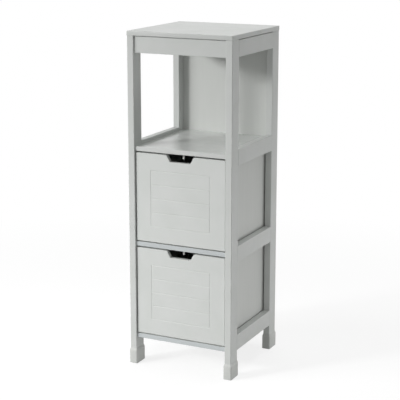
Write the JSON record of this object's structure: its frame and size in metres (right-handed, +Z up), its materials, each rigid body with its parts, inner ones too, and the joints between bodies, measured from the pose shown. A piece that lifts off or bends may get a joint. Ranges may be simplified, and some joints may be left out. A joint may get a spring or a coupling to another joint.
{
  "type": "bathroom floor cabinet",
  "caption": "Narrow free-standing bathroom cabinet with an open shelf bay above two pull-out drawers, each with a finger cut-out.",
  "frame": {"origin": "on the floor, under the middle of the four foot caps", "axes": "+Z up, -Y towards the drawer fronts, +X to the right as seen from the front"},
  "size_m": [0.3, 0.3, 0.89],
  "materials": {
    "lacquered_mdf": "satin sprayed lacquer, light warm grey",
    "lacquered_hardboard": "satin lacquer over thin hardboard, light grey",
    "foot_cap_plastic": "fine matte moulded plastic, light grey",
    "peg_plastic": "moulded plastic, light grey",
    "beech_dowel": "bare beech",
    "zinc_die_cast": "plain zinc die casting",
    "plated_steel": "bright zinc plating"
  },
  "bodies": {
    "cabinet_frame": {"back_panel": "lacquered_hardboard", "back_panel_screws": "plated_steel", "board_cam_bolts": "plated_steel", "board_cam_locks": "zinc_die_cast", "board_dowels": "beech_dowel", "bottom_board": "lacquered_mdf", "divider_board": "lacquered_mdf", "foot_cap_back_left": "foot_cap_plastic", "foot_cap_back_right": "foot_cap_plastic", "foot_cap_front_left": "foot_cap_plastic", "foot_cap_front_right": "foot_cap_plastic", "front_apron": "lacquered_mdf", "post_back_left": "lacquered_mdf", "post_back_right": "lacquered_mdf", "post_front_left": "lacquered_mdf", "post_front_right": "lacquered_mdf", "rail_left_bottom": "lacquered_mdf", "rail_left_middle": "lacquered_mdf", "rail_left_shelf": "lacquered_mdf", "rail_left_top": "lacquered_mdf", "rail_right_bottom": "lacquered_mdf", "rail_right_middle": "lacquered_mdf", "rail_right_shelf": "lacquered_mdf", "rail_right_top": "lacquered_mdf", "shelf_board": "lacquered_mdf", "side_panel_left_lower": "lacquered_hardboard", "side_panel_left_upper": "lacquered_hardboard", "side_panel_right_lower": "lacquered_hardboard", "side_panel_right_upper": "lacquered_hardboard", "stop_peg_lower": "peg_plastic", "stop_peg_upper": "peg_plastic", "top_cam_bolts": "plated_steel", "top_cam_locks": "zinc_die_cast", "top_panel": "lacquered_mdf"},
    "upper_drawer": {"upper_drawer_back": "lacquered_mdf", "upper_drawer_back_screws": "plated_steel", "upper_drawer_bottom": "lacquered_hardboard", "upper_drawer_cam_bolts": "plated_steel", "upper_drawer_cam_locks": "zinc_die_cast", "upper_drawer_dowels": "beech_dowel", "upper_drawer_front": "lacquered_mdf", "upper_drawer_side_left": "lacquered_mdf", "upper_drawer_side_right": "lacquered_mdf"},
    "lower_drawer": {"lower_drawer_back": "lacquered_mdf", "lower_drawer_back_screws": "plated_steel", "lower_drawer_bottom": "lacquered_hardboard", "lower_drawer_cam_bolts": "plated_steel", "lower_drawer_cam_locks": "zinc_die_cast", "lower_drawer_dowels": "beech_dowel", "lower_drawer_front": "lacquered_mdf", "lower_drawer_side_left": "lacquered_mdf", "lower_drawer_side_right": "lacquered_mdf"}
  },
  "joints": [
    {"name": "upper_drawer_slide", "type": "slide", "parent": "cabinet_frame", "child": "upper_drawer", "axis": [0, -1, 0], "range_m": [0, 0.237]},
    {"name": "lower_drawer_slide", "type": "slide", "parent": "cabinet_frame", "child": "lower_drawer", "axis": [0, -1, 0], "range_m": [0, 0.237]}
  ]
}
